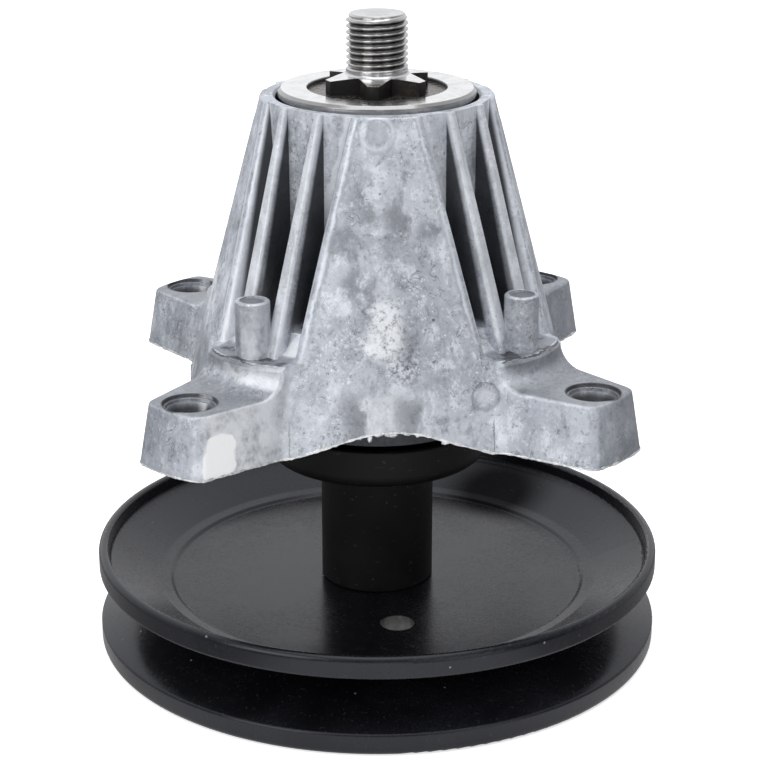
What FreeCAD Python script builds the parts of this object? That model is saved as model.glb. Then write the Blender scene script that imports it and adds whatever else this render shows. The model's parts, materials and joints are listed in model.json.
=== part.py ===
import FreeCAD, Part
import math
import os
from FreeCAD import Vector

# Mower deck spindle. Millimetres, +Z up along the spin axis, blade end up, z = 0 at the pulley's lower rim.
# X and Y run along the square of the foot holes.

# Heights that several pieces keep to
housing_top_z = 134.0
shelf_z = 81.5
foot_bottom_z = 61.4

# Shaft, blade end
thread_radius = 7.144
thread_top_z = housing_top_z + 18.5
thread_end_flat_radius = 5.25
thread_chamfer_height = 1.3
centre_dimple_radius = 2.0
centre_dimple_depth = 1.4
neck_bottom_z = housing_top_z + 4.7
neck_flare = 0.35
star_tip_radius = 12.5
star_root_radius = 7.6
star_point_radius = 15.4
star_points = 6
star_turn_deg = -98.5
star_top_slope = 0.75
flange_radius = 22.9
flange_top_z = housing_top_z + 1.6
flange_thickness = 4.2
flange_chamfer = 0.7
flange_recess_radius = 16.3
flange_recess_depth = 1.0
shaft_shoulder_radius = 13.4

# Shaft, pulley end
journal_radius = 9.99
drive_radius = 8.5
drive_top_z = 48.0
pulley_seat_radius = 7.94
pulley_seat_top_z = 17.5
pulley_flat_reach = 6.5
shaft_end_z = 0.7

# Bearings, 20 x 47 x 14
bearing_bore_radius = 10.0
bearing_outer_radius = 23.5
bearing_width = 14.0
ball_radius = 3.969
ball_count = 8
pitch_radius = 16.75
ball_play = 0.05
groove_radius = 4.13
inner_land_radius = 13.6
outer_land_radius = 19.9
ring_edge = 0.8
cage_inner_radius = 16.0
cage_outer_radius = 17.5
cage_half_height = 4.6
cage_pocket_play = 0.1
seal_thickness = 0.9
seal_inset = 0.5
seal_lip_gap = 0.15

# Fits
press_play = 0.01
slide_play = 0.05
thread_play = 0.02

# Housing, tube and panels
housing_top_radius = 27.0
panel_foot_reach = 46.17
panel_bow_low = 3.4
tube_top_radius = 26.2
tube_bottom_radius = 27.0
boss_radius = 26.3
boss_bottom_z = 57.0
middle_bore_radius = 20.6
blade_seat_z = housing_top_z - 18.4
pulley_seat_face_z = 72.2
bore_chamfer = 0.6
panel_top_half = 8.0
panel_foot_half = 26.62
panel_side_lean = 0.22
panel_root = 14.0
panel_edge_fillet = 1.8
panel_top_fillet = 0.7
mark_radius = 3.2
mark_depth = 0.35
mark_x = -2.2
mark_z = housing_top_z - 3.4

# Housing, ribs and posts
rib_top_offset = 5.1
rib_bottom_offset = 4.6
rib_bottom_reach = 44.3
rib_top_thickness = 2.2
rib_bottom_thickness = 4.2
rib_edge_fillet = 0.9
post_distance = 42.6
post_bottom_radius = 4.1
post_top_radius = 3.9
post_top_z = 94.2
post_dish_radius = 2.9
post_dish_depth = 0.4
post_edge_fillet = 0.5

# Housing, base and feet
foot_top_z = 75.5
turret_centre = 24.1
turret_radius = 24.4
cove_radius = 5.0
shelf_edge = 1.0
collar_radius = 43.0
collar_top_radius = 37.8
collar_rise = 5.2
collar_rounding = 5.0
collar_setback = 0.5
seam_low_inset = 2.6
seam_high_inset = 0.9
foot_hole_half = 44.45
foot_hole_radius = 3.85
foot_step_radius = 6.1
foot_step_depth = 0.8
foot_ring_radius = 5.5
foot_ring_depth = 1.5
foot_cone_depth = 4.4
foot_flank_run = 18.5
foot_flank_rise = 12.8
foot_draft = 2.1
foot_root = 18.0
foot_end_radius = 33.8
foot_end_reach = 71.4
foot_corner_fillet = 3.0
foot_edge_fillet = 1.0
seam_fillet = 5.0
wall = 4.0
core_corner_radius = 44.5
ceiling_z = 77.3
web_thickness = 5.0
panel_core_top_z = foot_bottom_z + 0.71 * (housing_top_z - foot_bottom_z)
arch_apex_z = 68.7
arch_half = 22.4
arch_rounding = 28.0

# Shield and hub
shield_radius = 26.6
shield_bottom_z = 46.0
shield_rim_z = 55.5
shield_sheet = 1.6
shield_bend = 3.2
hub_radius = 13.6
hub_nose_radius = 12.8
spacer_radius = 13.2

# Pulley
pulley_radius = 68.4
pulley_half_height = 11.95
pulley_mid_z = pulley_half_height
pulley_sheet = 2.1
web_flat_radius = 50.2
groove_bend_radius = 51.4
groove_lip_radius = 66.9
groove_half_mouth = 6.26
rim_height_start = 6.9
rim_inner_radius = 66.1
weep_distance = 30.7
weep_radius = 4.0
weep_turn_deg = -85.5

# Clamp at the pulley end
washer_radius = 16.0
washer_thickness = 1.6
nut_flat_half = 11.9
nut_height = 6.9
nut_chamfer = 1.0


AXIS = Vector(0, 0, 1)
CENTRE = Vector(0, 0, 0)


def corner_points(before, corner, after, radius):
    """Start, middle and end of the arc that rounds one corner of an outline."""
    to_before = (before - corner).normalize()
    to_after = (after - corner).normalize()
    half = math.acos(max(-1.0, min(1.0, to_before.dot(to_after)))) / 2
    reach = radius / math.tan(half)
    middle_line = (to_before + to_after).normalize()
    centre = corner + middle_line * (radius / math.sin(half))
    return corner + to_before * reach, centre - middle_line * radius, corner + to_after * reach


def outline(points):
    """Closed wire in the XZ plane from (radius, z) or (radius, z, rounding) corners."""
    corners = [Vector(point[0], 0, point[1]) for point in points]
    count = len(points)
    starts = []
    ends = []
    edges = []
    for index in range(count):
        rounding = points[index][2] if len(points[index]) > 2 else 0
        if rounding > 0:
            first, middle, last = corner_points(
                corners[index - 1], corners[index], corners[(index + 1) % count], rounding)
            edges.append(Part.Arc(first, middle, last).toShape())
        else:
            first = corners[index]
            last = corners[index]
        starts.append(first)
        ends.append(last)
    for index in range(count):
        following = starts[(index + 1) % count]
        if (following - ends[index]).Length > 1e-6:
            edges.append(Part.makeLine(ends[index], following))
    return Part.Wire(Part.__sortEdges__(edges))


def turned(points):
    """Solid of revolution about the spin axis."""
    return Part.Face(outline(points)).revolve(CENTRE, AXIS, 360)


def block(lower, upper):
    """Solid between two loops of the same number of corners."""
    faces = [Part.Face(Part.makePolygon(loop + [loop[0]])) for loop in (lower, upper)]
    count = len(lower)
    for index in range(count):
        after = (index + 1) % count
        ring = [lower[index], lower[after], upper[after], upper[index], lower[index]]
        faces.append(Part.Face(Part.makePolygon(ring)))
    solid = Part.Solid(Part.Shell(faces))
    if solid.Volume < 0:
        solid.reverse()
    return solid


def rectangle(x_low, x_high, y_low, y_high, z):
    return [Vector(x_low, y_low, z), Vector(x_high, y_low, z), Vector(x_high, y_high, z), Vector(x_low, y_high, z)]


def long_edges(shape, direction, reach):
    """Edges that run upward and lie further than reach along a direction."""
    return [edge for edge in shape.Edges
            if edge.BoundBox.ZLength > edge.Length / 2 and edge.CenterOfMass.dot(direction) > reach]


def turned_copies(shape, angles):
    copies = []
    for angle in angles:
        copy = shape.copy()
        copy.rotate(CENTRE, AXIS, angle)
        copies.append(copy)
    return copies


def one_solid(shape):
    shape = shape.removeSplitter()
    if len(shape.Solids) != 1:
        raise ValueError("expected one solid, got %d" % len(shape.Solids))
    return shape.Solids[0]


def down_share(z):
    """0 at the housing's top, 1 at the underside of the feet."""
    return (housing_top_z - z) / (housing_top_z - foot_bottom_z)


def panel_reach(z):
    return housing_top_radius + (panel_foot_reach - housing_top_radius) * down_share(z)


def panel_half(z):
    return panel_top_half + (panel_foot_half - panel_top_half) * down_share(z)


def panel_bow(z):
    """How far the panel's edges lie behind the middle of its face."""
    top_bow = housing_top_radius - math.sqrt(housing_top_radius ** 2 - panel_top_half ** 2)
    share = min(1.0, (housing_top_z - z) / (housing_top_z - shelf_z))
    return top_bow + (panel_bow_low - top_bow) * share


def panel_block(low_z, high_z, thinner, root):
    """One flared panel on the -Y side with a bowed face, or its core when thinner is the wall."""
    sections = []
    for z in (low_z, high_z):
        half = panel_half(z) - thinner
        reach = panel_reach(z) - thinner
        edge = reach - panel_bow(z)
        root_half = half - panel_side_lean * (edge - root)
        corners = [Vector(half, -edge, z), Vector(root_half, -root, z), Vector(-root_half, -root, z),
                   Vector(-half, -edge, z)]
        face = Part.Arc(corners[3], Vector(0, -reach, z), corners[0]).toShape()
        sections.append(Part.Wire([face] + [Part.makeLine(corners[i], corners[i + 1]) for i in range(3)]))
    return Part.makeLoft(sections, True, True)


def round_mark():
    """Cutter for the shallow round mark near the top of a panel."""
    tilt = math.atan((panel_foot_reach - housing_top_radius) / (housing_top_z - foot_bottom_z))
    outward = Vector(0, -math.cos(tilt), math.sin(tilt))
    start = Vector(mark_x, -panel_reach(mark_z), mark_z) - outward * mark_depth
    return Part.makeCylinder(mark_radius, 3, start, outward)


def square_block(low_z, high_z, thinner):
    loops = []
    for z in (low_z, high_z):
        reach = panel_reach(z) - thinner
        loops.append(rectangle(-reach, reach, -reach, reach, z))
    return block(loops[0], loops[1])


def rib_pair():
    """Two plates either side of the +X direction, turned to a corner by the caller."""
    low_z = foot_top_z
    top_reach = math.sqrt(housing_top_radius ** 2 - rib_top_offset ** 2)
    plates = []
    for side in (-1, 1):
        loops = []
        for z, reach, offset, thickness in ((low_z, rib_bottom_reach, rib_bottom_offset, rib_bottom_thickness),
                                            (housing_top_z, top_reach, rib_top_offset, rib_top_thickness)):
            loops.append(rectangle(panel_root, reach, side * offset - thickness / 2,
                                   side * offset + thickness / 2, z))
        plate = block(loops[0], loops[1])
        plates.append(plate.makeFillet(rib_edge_fillet, long_edges(plate, Vector(1, 0, 0), panel_root + 1)))
    return plates


def foot():
    """One foot at the +X +Y corner: drafted flanks, round end, and a cove from the shelf down to the pad."""
    loops = []
    height = shelf_z - foot_bottom_z
    draft = foot_draft * height / (foot_top_z - foot_bottom_z)
    flank = Vector(foot_flank_run, foot_flank_rise, 0)
    for z, inset in ((foot_bottom_z, seam_low_inset), (shelf_z, seam_high_inset)):
        seam_x = panel_half(z) - inset
        seam = Vector(seam_x, panel_reach(z) - panel_bow(z) * (seam_x / panel_half(z)) ** 2, z)
        far = seam + flank * 1.6
        near = seam - flank * 0.5
        back = near - Vector(0, foot_root, 0)
        side = [back, near, far]
        loops.append(side + [Vector(point.y, point.x, z) for point in reversed(side)])
    solid = block(loops[0], loops[1])
    diagonal = Vector(1, 1, 0).normalize() * (foot_end_reach - foot_end_radius)
    end = Part.makeCone(foot_end_radius, foot_end_radius - draft, height,
                        Vector(diagonal.x, diagonal.y, foot_bottom_z), AXIS)
    solid = solid.common(end)
    uprights = []
    for edge in solid.Edges:
        ends = [vertex.Point for vertex in edge.Vertexes]
        if len(ends) == 2 and abs(ends[0].z - ends[1].z) > 5 and min(math.hypot(p.x, p.y) for p in ends) > 65:
            uprights.append(edge)
    solid = solid.makeFillet(foot_corner_fillet, uprights)
    cutter = turned([(turret_radius, foot_top_z, cove_radius), (90, foot_top_z), (90, shelf_z + 5),
                     (turret_radius - shelf_edge, shelf_z + 5), (turret_radius - shelf_edge, shelf_z),
                     (turret_radius, shelf_z - shelf_edge)])
    middle = turret_centre / math.sqrt(2)
    cutter.translate(Vector(middle, middle, 0))
    solid = solid.cut(cutter)
    top_edges = []
    for edge in solid.Edges:
        box = edge.BoundBox
        far_out = math.hypot((box.XMin + box.XMax) / 2, (box.YMin + box.YMax) / 2)
        if box.ZMin > foot_top_z - 0.01 and far_out > 62 and box.XMin > 30 and box.YMin > 30:
            top_edges.append(edge)
    return solid.makeFillet(foot_edge_fillet, top_edges)


def seam_edges(skirt):
    """The hollow corners where the foot flanks leave the four faces."""
    chosen = []
    for edge in skirt.Edges:
        box = edge.BoundBox
        full_height = abs(box.ZMin - foot_bottom_z) < 0.05 and abs(box.ZMax - shelf_z) < 0.05
        if full_height and math.hypot(edge.CenterOfMass.x, edge.CenterOfMass.y) > tube_bottom_radius:
            chosen.append(edge)
    return chosen


def foot_hole_cutter():
    z = foot_top_z
    cutter = turned([(0, z + 3), (foot_step_radius, z + 3), (foot_step_radius, z - foot_step_depth),
                     (foot_ring_radius, z - foot_step_depth), (foot_ring_radius, z - foot_ring_depth),
                     (foot_ring_radius - 0.5, z - foot_ring_depth), (foot_hole_radius, z - foot_cone_depth),
                     (foot_hole_radius, foot_bottom_z - 1), (0, foot_bottom_z - 1)])
    cutter.translate(Vector(foot_hole_half, foot_hole_half, 0))
    return cutter


def post():
    height = post_top_z - foot_top_z
    solid = Part.makeCone(post_bottom_radius, post_top_radius, height, Vector(post_distance, 0, foot_top_z), AXIS)
    rim = [edge for edge in solid.Edges if edge.BoundBox.ZMin > post_top_z - 0.01]
    solid = solid.makeFillet(post_edge_fillet, rim)
    dish = Part.makeCylinder(post_dish_radius, 5, Vector(post_distance, 0, post_top_z - post_dish_depth), AXIS)
    return solid.cut(dish)


def make_housing():
    sides = (0, 90, 180, 270)
    corners = (45, 135, 225, 315)
    tube_foot = turned([(0, foot_bottom_z), (tube_bottom_radius, foot_bottom_z),
                        (tube_top_radius, housing_top_z), (0, housing_top_z)])
    boss = Part.makeCylinder(boss_radius, foot_bottom_z - boss_bottom_z + 1, Vector(0, 0, boss_bottom_z), AXIS)

    # Panels and ribs above the shelf
    panel = panel_block(shelf_z, housing_top_z, 0, panel_root)
    panel = panel.makeFillet(panel_edge_fillet, long_edges(panel, Vector(0, -1, 0), panel_root + 1))
    rim = [edge for edge in panel.Edges
           if edge.BoundBox.ZMin > housing_top_z - 0.01 and -edge.CenterOfMass.y > panel_root + panel_top_half]
    panel = panel.makeFillet(panel_top_fillet, rim).cut(round_mark())
    upper = turned_copies(panel, sides)
    for plate in rib_pair():
        upper += turned_copies(plate, corners)
    crown = upper[0].multiFuse(upper[1:])

    # Hollow slope that closes the foot of the gaps between panels and ribs
    collar = turned([(panel_root, shelf_z - 1), (collar_radius, shelf_z - 1), (collar_radius, shelf_z),
                     (collar_top_radius + 1.6, shelf_z + 0.7, collar_rounding),
                     (collar_top_radius, shelf_z + collar_rise), (panel_root, shelf_z + collar_rise)])
    collar = collar.common(square_block(shelf_z - 1, shelf_z + collar_rise, panel_bow_low + collar_setback))

    # Base below the shelf, its four faces in line with the panels, and the feet
    base = turned_copies(panel_block(foot_bottom_z, shelf_z, 0, panel_root), sides)
    skirt = base[0].multiFuse(base[1:] + turned_copies(foot(), sides)).removeSplitter()
    skirt = skirt.makeFillet(seam_fillet, seam_edges(skirt))

    # Underside core, open downward, with a web at each corner
    core = square_block(foot_bottom_z - 2, ceiling_z, wall + panel_bow_low)
    core_round = Part.makeCylinder(core_corner_radius, 60, Vector(0, 0, foot_bottom_z - 2), AXIS)
    core = core.common(core_round)
    core_panels = turned_copies(panel_block(foot_bottom_z - 2, panel_core_top_z, wall, panel_root), sides)
    core = core.multiFuse(core_panels)
    web = Part.makeBox(120, web_thickness, 40, Vector(-60, -web_thickness / 2, foot_bottom_z - 5))
    for cutter in turned_copies(web, (45, 135)):
        core = core.cut(cutter)
    tube_keep = Part.makeCylinder(tube_bottom_radius + 0.3, 90, Vector(0, 0, foot_bottom_z - 5), AXIS)
    core = core.cut(tube_keep)

    arch_run = arch_half * (1 + 2 / (arch_apex_z - foot_bottom_z))
    arch = Part.Face(outline([(arch_run, foot_bottom_z - 2), (0, arch_apex_z, arch_rounding),
                              (-arch_run, foot_bottom_z - 2)])).extrude(Vector(0, -40, 0))
    arch.translate(Vector(0, -tube_bottom_radius - 2, 0))
    for cutter in turned_copies(arch, sides):
        skirt = skirt.cut(cutter)

    posts = turned_copies(post(), corners)
    body = tube_foot.multiFuse([crown, skirt, collar, boss] + posts)
    body = body.cut(core)

    # Bores
    edge = bearing_outer_radius + press_play
    bore = turned([(0, boss_bottom_z - 1), (edge + bore_chamfer + 1, boss_bottom_z - 1),
                   (edge, boss_bottom_z + bore_chamfer), (edge, pulley_seat_face_z),
                   (middle_bore_radius, pulley_seat_face_z), (middle_bore_radius, blade_seat_z),
                   (edge, blade_seat_z), (edge, housing_top_z - bore_chamfer),
                   (edge + bore_chamfer + 1, housing_top_z + 1), (0, housing_top_z + 1)])
    body = body.cut(bore)
    for cutter in turned_copies(foot_hole_cutter(), sides):
        body = body.cut(cutter)
    return one_solid(body)


def make_star():
    corners = []
    for index in range(star_points * 2):
        angle = math.radians(star_turn_deg + index * 180.0 / star_points)
        radius = star_point_radius if index % 2 == 0 else star_root_radius
        corners.append(Vector(radius * math.cos(angle), radius * math.sin(angle), 0))
    bottom_z = flange_top_z - flange_recess_depth - 0.5
    lower = [Vector(corner.x, corner.y, bottom_z) for corner in corners]
    face = Part.Face(Part.makePolygon(lower + [lower[0]]))
    star = face.extrude(Vector(0, 0, neck_bottom_z - bottom_z))
    cap = turned([(0, bottom_z), (star_tip_radius, bottom_z), (star_tip_radius, neck_bottom_z - star_top_slope),
                  (thread_radius + neck_flare, neck_bottom_z), (0, neck_bottom_z)])
    return star.common(cap)


def make_shaft():
    recess_z = flange_top_z - flange_recess_depth
    flange_z = flange_top_z - flange_thickness
    bearing_top_z = blade_seat_z + bearing_width
    body = turned([
        (0, shaft_end_z), (pulley_seat_radius - 1, shaft_end_z), (pulley_seat_radius, shaft_end_z + 1),
        (pulley_seat_radius, pulley_seat_top_z), (drive_radius, pulley_seat_top_z), (drive_radius, drive_top_z),
        (journal_radius, drive_top_z), (journal_radius, bearing_top_z), (shaft_shoulder_radius, bearing_top_z),
        (shaft_shoulder_radius, flange_z), (flange_radius - flange_chamfer, flange_z),
        (flange_radius, flange_z + flange_chamfer), (flange_radius, flange_top_z - flange_chamfer),
        (flange_radius - flange_chamfer, flange_top_z), (flange_recess_radius, flange_top_z),
        (flange_recess_radius - 0.3, recess_z), (thread_radius, recess_z),
        (thread_radius, neck_bottom_z - 0.2), (thread_radius + neck_flare, neck_bottom_z - 0.2),
        (thread_radius + neck_flare, neck_bottom_z), (thread_radius, neck_bottom_z + neck_flare),
        (thread_radius, thread_top_z - thread_chamfer_height), (thread_end_flat_radius, thread_top_z),
        (centre_dimple_radius, thread_top_z), (0, thread_top_z - centre_dimple_depth)])
    shaft = body.fuse(make_star())
    for side in (-1, 1):
        x_low = pulley_flat_reach if side > 0 else -pulley_flat_reach - 10
        shaft = shaft.cut(Part.makeBox(10, 40, pulley_seat_top_z - shaft_end_z + 1,
                                       Vector(x_low, -20, shaft_end_z - 1)))
    return one_solid(shaft)


def make_bearing(bottom_z):
    """Outer ring, inner ring, balls, cage and two seals of one bearing."""
    mid_z = bottom_z + bearing_width / 2
    top_z = bottom_z + bearing_width
    outer_groove = Part.makeTorus(pitch_radius + ball_radius + ball_play - groove_radius, groove_radius,
                                  Vector(0, 0, mid_z), AXIS)
    inner_groove = Part.makeTorus(pitch_radius - ball_radius - ball_play + groove_radius, groove_radius,
                                  Vector(0, 0, mid_z), AXIS)
    outer = turned([(outer_land_radius, bottom_z), (bearing_outer_radius - ring_edge, bottom_z),
                    (bearing_outer_radius, bottom_z + ring_edge), (bearing_outer_radius, top_z - ring_edge),
                    (bearing_outer_radius - ring_edge, top_z), (outer_land_radius, top_z)]).cut(outer_groove)
    inner = turned([(bearing_bore_radius + ring_edge, bottom_z), (inner_land_radius, bottom_z),
                    (inner_land_radius, top_z), (bearing_bore_radius + ring_edge, top_z),
                    (bearing_bore_radius, top_z - ring_edge),
                    (bearing_bore_radius, bottom_z + ring_edge)]).cut(inner_groove)
    cage = turned([(cage_inner_radius, mid_z - cage_half_height), (cage_outer_radius, mid_z - cage_half_height),
                   (cage_outer_radius, mid_z + cage_half_height), (cage_inner_radius, mid_z + cage_half_height)])
    balls = []
    for index in range(ball_count):
        angle = math.radians(index * 360.0 / ball_count)
        centre = Vector(pitch_radius * math.cos(angle), pitch_radius * math.sin(angle), mid_z)
        balls.append(Part.makeSphere(ball_radius, centre))
        outward = Vector(math.cos(angle), math.sin(angle), 0)
        pocket = Part.makeCylinder(ball_radius + cage_pocket_play, 8, centre - outward * 4, outward)
        cage = cage.cut(pocket)
    seals = []
    for low_z in (bottom_z + seal_inset, top_z - seal_inset - seal_thickness):
        seals.append(turned([(inner_land_radius + seal_lip_gap, low_z), (outer_land_radius - press_play, low_z),
                             (outer_land_radius - press_play, low_z + seal_thickness),
                             (inner_land_radius + seal_lip_gap, low_z + seal_thickness)]))
    return {"outer_ring": one_solid(outer), "inner_ring": one_solid(inner), "cage": one_solid(cage),
            "balls": Part.makeCompound(balls), "lower_seal": one_solid(seals[0]),
            "upper_seal": one_solid(seals[1])}


def make_pulley_half():
    """Upper half, web on the mid plane. The lower half is its mirror image."""
    half = pulley_half_height
    slope = groove_half_mouth / (groove_lip_radius - groove_bend_radius)
    sheet_rise = pulley_sheet * math.sqrt(1 + slope ** 2)
    step_z = pulley_sheet + 0.65
    inner_rim_z = (rim_inner_radius - groove_bend_radius) * slope + sheet_rise
    step_end = groove_bend_radius + (step_z - sheet_rise) / slope
    points = [
        (0, 0), (groove_bend_radius, 0, 2.0), (groove_lip_radius, groove_half_mouth, 1.0),
        (pulley_radius, rim_height_start, 0.7), (pulley_radius, half, 1.3), (rim_inner_radius, half, 0.8),
        (rim_inner_radius - 0.3, inner_rim_z, 1.2), (step_end + 1.0, step_z + 1.0 * slope, 2.0),
        (web_flat_radius + 0.9, step_z, 0.4), (web_flat_radius, pulley_sheet, 0.5), (0, pulley_sheet)]
    solid = turned([(point[0], point[1] + pulley_mid_z) + tuple(point[2:]) for point in points])
    seat = Part.makeCylinder(pulley_seat_radius + slide_play, 20, Vector(0, 0, pulley_mid_z - 5), AXIS)
    reach = pulley_flat_reach + slide_play
    seat = seat.common(Part.makeBox(reach * 2, 60, 60, Vector(-reach, -30, pulley_mid_z - 30)))
    solid = solid.cut(seat)
    angle = math.radians(weep_turn_deg)
    weep = Part.makeCylinder(weep_radius, 20, Vector(weep_distance * math.cos(angle),
                                                     weep_distance * math.sin(angle), pulley_mid_z - 5), AXIS)
    return one_solid(solid.cut(weep))


def make_hub():
    web_top_z = pulley_mid_z + pulley_sheet
    wide = journal_radius + slide_play
    narrow = drive_radius + slide_play
    return turned([(narrow, web_top_z), (hub_radius, web_top_z, 0.4), (hub_radius, shield_bottom_z),
                   (hub_nose_radius, shield_bottom_z), (hub_nose_radius, pulley_bearing_z),
                   (wide, pulley_bearing_z), (wide, drive_top_z - 0.2), (narrow, drive_top_z - 0.2)])


def make_shield():
    inner = shield_radius - shield_sheet
    floor_z = shield_bottom_z + shield_sheet
    hole = hub_nose_radius + press_play
    return turned([(hole, shield_bottom_z), (shield_radius, shield_bottom_z, shield_bend),
                   (shield_radius, shield_rim_z, 0.5), (inner, shield_rim_z, 0.5),
                   (inner, floor_z, shield_bend - shield_sheet), (hole, floor_z)])


def make_nut(top_z):
    bottom_z = top_z - nut_height
    corner = nut_flat_half / math.cos(math.radians(30))
    corners = []
    for index in range(6):
        angle = math.radians(index * 60)
        corners.append(Vector(corner * math.cos(angle), corner * math.sin(angle), bottom_z))
    prism = Part.Face(Part.makePolygon(corners + [corners[0]])).extrude(Vector(0, 0, nut_height))
    bore = pulley_seat_radius + thread_play
    body = turned([(bore + nut_chamfer, bottom_z), (nut_flat_half, bottom_z),
                   (corner + 0.5, bottom_z + nut_chamfer), (corner + 0.5, top_z), (bore, top_z),
                   (bore, bottom_z + nut_chamfer)])
    return one_solid(prism.common(body))


os.makedirs("parts", exist_ok=True)
pulley_bearing_z = pulley_seat_face_z - bearing_width
pieces = {"spindle_shaft": make_shaft(), "housing": make_housing()}
for bearing_name, low_z in (("blade_bearing", blade_seat_z), ("pulley_bearing", pulley_bearing_z)):
    for piece_name, piece_shape in make_bearing(low_z).items():
        pieces[bearing_name + "_" + piece_name] = piece_shape
spacer_bore = journal_radius + slide_play
pieces["bearing_spacer"] = turned([
    (spacer_bore, pulley_seat_face_z), (spacer_radius, pulley_seat_face_z), (spacer_radius, blade_seat_z),
    (spacer_bore, blade_seat_z)])
pieces["dust_shield"] = make_shield()
pieces["hub_spacer"] = make_hub()
pieces["pulley_upper_half"] = make_pulley_half()
pieces["pulley_lower_half"] = make_pulley_half().mirror(Vector(0, 0, pulley_mid_z), AXIS)
web_bottom_z = pulley_mid_z - pulley_sheet
washer_hole = pulley_seat_radius + slide_play * 3
pieces["pulley_washer"] = turned([
    (washer_hole, web_bottom_z - washer_thickness), (washer_radius, web_bottom_z - washer_thickness, 0.3),
    (washer_radius, web_bottom_z, 0.3), (washer_hole, web_bottom_z)])
pieces["pulley_nut"] = make_nut(web_bottom_z - washer_thickness)
for node, shape in pieces.items():
    shape.exportStep("parts/" + node + ".step")
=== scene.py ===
import bmesh
import bpy
import json
import math
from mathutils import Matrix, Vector, noise


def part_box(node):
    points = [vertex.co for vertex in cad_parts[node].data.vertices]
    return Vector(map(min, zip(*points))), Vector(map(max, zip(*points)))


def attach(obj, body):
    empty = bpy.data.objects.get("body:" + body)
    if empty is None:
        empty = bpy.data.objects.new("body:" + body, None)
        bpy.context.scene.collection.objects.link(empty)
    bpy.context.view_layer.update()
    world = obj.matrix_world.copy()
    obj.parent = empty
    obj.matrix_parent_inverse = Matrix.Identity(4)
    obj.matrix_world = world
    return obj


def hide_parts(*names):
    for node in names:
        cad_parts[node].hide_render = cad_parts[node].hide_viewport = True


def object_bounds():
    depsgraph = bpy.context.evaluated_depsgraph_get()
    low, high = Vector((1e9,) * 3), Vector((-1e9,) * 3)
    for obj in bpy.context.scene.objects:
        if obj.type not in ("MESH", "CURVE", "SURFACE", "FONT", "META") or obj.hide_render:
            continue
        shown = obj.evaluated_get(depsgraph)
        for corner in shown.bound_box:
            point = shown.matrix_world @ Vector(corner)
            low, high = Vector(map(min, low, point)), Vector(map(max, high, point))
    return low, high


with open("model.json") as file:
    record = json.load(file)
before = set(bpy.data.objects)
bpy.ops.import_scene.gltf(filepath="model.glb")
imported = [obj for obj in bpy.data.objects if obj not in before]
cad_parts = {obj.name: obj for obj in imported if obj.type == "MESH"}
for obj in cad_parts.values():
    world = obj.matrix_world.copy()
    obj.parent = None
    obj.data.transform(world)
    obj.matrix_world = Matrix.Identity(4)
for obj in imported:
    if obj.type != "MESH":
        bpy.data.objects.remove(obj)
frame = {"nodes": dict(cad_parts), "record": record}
cad_low, cad_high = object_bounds()
nodes = frame["nodes"]

# Sizes in metres, in the frame of the CAD model
MM = 0.001
thread_radius = 7.144 * MM
thread_pitch = 1.411 * MM
thread_depth = 0.82 * MM
thread_start_z = 139.6 * MM
thread_run_out = 1.2 * MM
thread_chamfer = 1.5 * MM
thread_end_radius = 6.2 * MM
dimple_radius = 3.4 * MM
dimple_depth = 0.7 * MM
recess_radius = 16.2 * MM
disc_top_z = 135.6 * MM
disc_edge_radius = 22.1 * MM
neck_bottom_z = 138.7 * MM
shaft_top_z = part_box("spindle_shaft")[1].z
housing_top_z = 134.0 * MM
housing_top_radius = 27.0 * MM
panel_top_half = 8.2 * MM
panel_spread = 0.2537
flare_slope = 0.264
rib_top_reach = 26.5 * MM
rib_slope = 0.304
shelf_z = 81.5 * MM
collar_top_z = 86.7 * MM
foot_hole_half = 44.45 * MM
foot_hole_radius = 6.1 * MM
foot_top_z = 75.5 * MM
post_half = 30.12 * MM
post_top_z = 94.2 * MM
flank_line_half = 22.8 * MM
weep_distance = 30.7 * MM
weep_radius = 3.97 * MM
weep_turn = math.radians(-85.5)
weep_bottom_z = 9.9 * MM
weep_top_z = 14.0 * MM

# Thread flank, in shares of half a pitch
thread_root_share = 0.10
thread_flank_share = 0.76

# Casting's lower rim, and its flash in section: shares of the flash's size outward and up
rim_top_z = 69.0 * MM
rim_inner_radius = 36.0 * MM
hole_surround_radius = 7.0 * MM
flash_step = 0.4 * MM
flash_section = ((0.03, 0.75), (0.24, 0.25), (0.20, -0.45), (-0.15, -0.65), (-0.45, 0.12))

# Front arch: where its edge lies, and the lumps on it as place, half width and half height in mm
arch_front_y = -40.0 * MM
arch_half_width = 20.0 * MM
arch_step = 0.2 * MM
chip_half_depth = 0.4 * MM
chip_sizes = ((-7.4, 0.5, 0.35), (-5.1, 0.5, 1.0), (-3.3, 1.1, 0.45), (-0.2, 1.4, 0.75), (3.4, 1.0, 0.4),
              (5.5, 0.5, 0.45), (11.7, 0.9, 0.55))

# Where the casting's marks, painted shade, painted highlights and painted reflections begin and where they
# are full
foot_from_radius, foot_full_radius = 33.0 * MM, 35.0 * MM
streak_from_z, streak_full_z = 78.0 * MM, 72.0 * MM
hairline_from_z, hairline_full_z = 70.0 * MM, 67.0 * MM
hairline_from_radius, hairline_full_radius = 46.0 * MM, 48.0 * MM
cove_from_z, cove_full_z = 76.5 * MM, 80.5 * MM
wall_from_z, wall_full_z = 118.0 * MM, 98.0 * MM
inside_from_radius, inside_full_radius = 40.0 * MM, 36.0 * MM
inside_from_z, inside_full_z = 76.0 * MM, 70.0 * MM
flank_from_y, flank_full_y = -47.0 * MM, -48.0 * MM
surround_from_x, surround_full_x = -43.0 * MM, -41.0 * MM

# Smudges on the front panel: place across it, height and reach, in mm
panel_smudges = ((-6.0, 116.0, 5.0), (-8.2, 98.4, 5.5), (0.5, 113.0, 4.0), (8.0, 110.0, 3.5),
                 (-11.0, 107.0, 5.0))

# Painted dark reflections as streaks down each foot: place across it in mm, and strength
foot_dark_reflections = ((-8.4, 0.65), (3.8, 0.6))
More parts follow.
